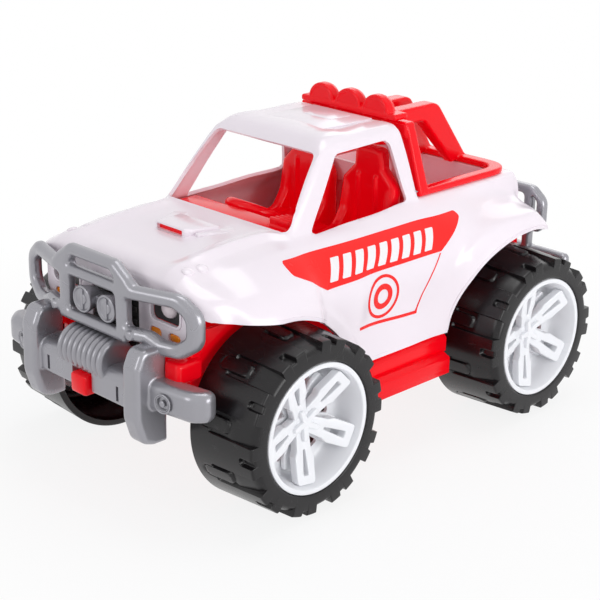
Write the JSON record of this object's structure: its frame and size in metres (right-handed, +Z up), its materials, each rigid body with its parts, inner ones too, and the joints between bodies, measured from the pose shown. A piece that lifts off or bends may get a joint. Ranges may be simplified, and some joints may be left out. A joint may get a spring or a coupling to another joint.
{
  "type": "toy car",
  "caption": "Pickup-style toy car with an open cab, a cargo bed under a roll cage, a front guard, and wide wheels that roll on steel axles.",
  "frame": {"origin": "centre of the bounding box on the floor: under the middle of the length and width, at the tyres' contact height", "axes": "-Y is the front of the car, +Y its tail, +X its left side and +Z up"},
  "size_m": [0.2264, 0.3598, 0.2146],
  "materials": {
    "white_plastic": "glossy white moulded plastic with a fine texture",
    "red_plastic": "glossy red moulded plastic",
    "silver_plastic": "satin silver-grey plastic with a faint metallic fleck",
    "black_plastic": "satin black moulded plastic",
    "tyre_black": "satin black blown plastic",
    "pale_lens": "pale glossy plastic",
    "orange_plastic": "orange gloss plastic",
    "steel": "bare drawn steel"
  },
  "bodies": {
    "car": {"body_screw_1": "steel", "body_screw_2": "steel", "body_screw_3": "steel", "body_screw_4": "steel", "body_shell": "white_plastic", "bull_bar": "silver_plastic", "chassis": "red_plastic", "fog_lamps": "silver_plastic", "front_axle_keeper": "red_plastic", "front_bumper": "silver_plastic", "grille": "black_plastic", "headlamp_housing_left": "black_plastic", "headlamp_housing_right": "black_plastic", "headlamp_lens_left": "pale_lens", "headlamp_lens_right": "pale_lens", "indicators_left": "orange_plastic", "indicators_right": "orange_plastic", "interior_tub": "red_plastic", "keeper_screw_1": "steel", "keeper_screw_2": "steel", "keeper_screw_3": "steel", "keeper_screw_4": "steel", "lamp_panel_left": "white_plastic", "lamp_panel_right": "white_plastic", "light_bar": "red_plastic", "rear_axle_keeper": "red_plastic", "rear_bar": "silver_plastic", "rear_bumper": "silver_plastic", "roll_cage": "red_plastic", "seat_left": "red_plastic", "seat_right": "red_plastic", "steering_wheel": "red_plastic"},
    "front_wheels": {"front_axle": "steel", "rim_front_left": "white_plastic", "rim_front_right": "white_plastic", "tyre_front_left": "tyre_black", "tyre_front_right": "tyre_black"},
    "rear_wheels": {"rear_axle": "steel", "rim_rear_left": "white_plastic", "rim_rear_right": "white_plastic", "tyre_rear_left": "tyre_black", "tyre_rear_right": "tyre_black"}
  },
  "joints": [
    {"name": "front_axle_spin", "type": "hinge", "parent": "car", "child": "front_wheels", "pos_m": [0, -0.0913, 0.0555], "axis": [1, 0, 0], "continuous": true},
    {"name": "rear_axle_spin", "type": "hinge", "parent": "car", "child": "rear_wheels", "pos_m": [0, 0.1193, 0.0555], "axis": [1, 0, 0], "continuous": true}
  ]
}
